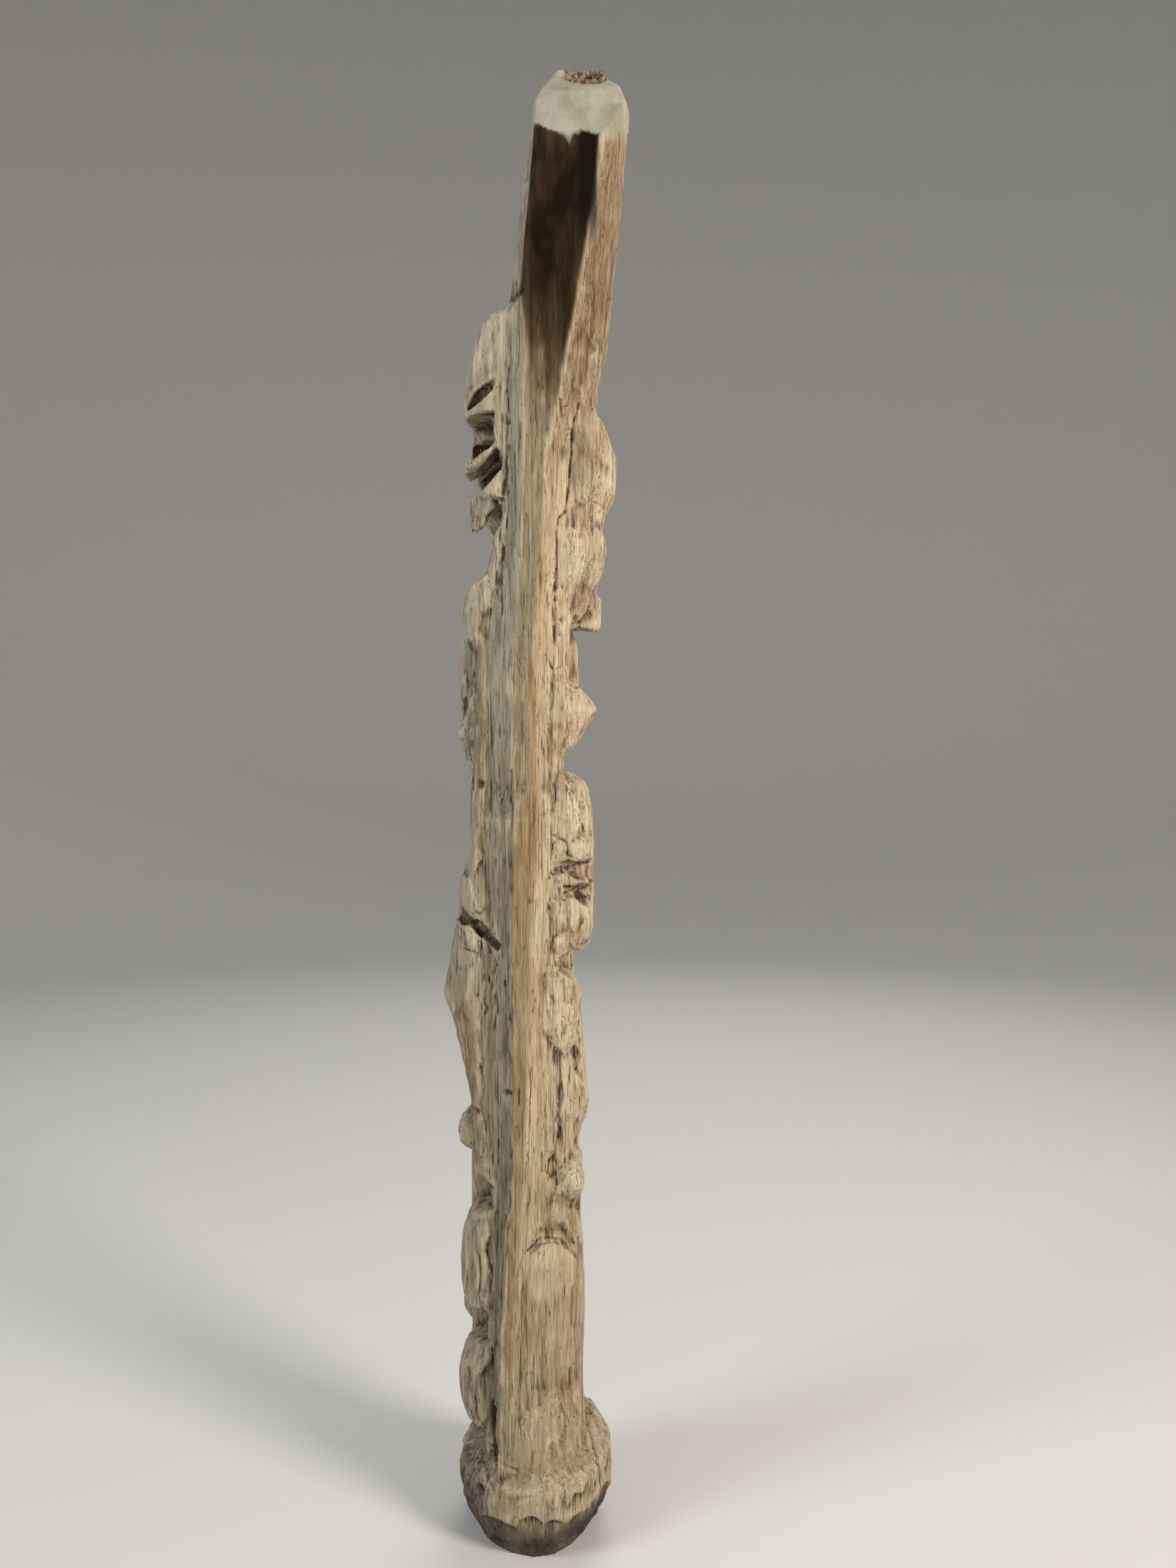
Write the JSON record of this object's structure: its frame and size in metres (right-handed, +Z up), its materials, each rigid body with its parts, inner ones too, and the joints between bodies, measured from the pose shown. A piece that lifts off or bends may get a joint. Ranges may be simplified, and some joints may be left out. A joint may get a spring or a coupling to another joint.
{
  "type": "carved pillar",
  "caption": "Tall narrow wooden pillar carved from one small log, with standing and crouching figures on one side, a hewn ridged back, a plain shaft above and a rounded foot.",
  "frame": {"origin": "middle of the rounded foot's flat underside, on the floor", "axes": "+Z up along the log; X runs across the plain hewn side, +Y points through the wood to the side that carries the figures"},
  "size_m": [0.1154, 0.1108, 0.9155],
  "materials": {
    "wood": "weathered bare wood, hand hewn, stained darker round the top and in the hollows"
  },
  "bodies": {
    "root": {"pillar": "wood"}
  },
  "joints": []
}
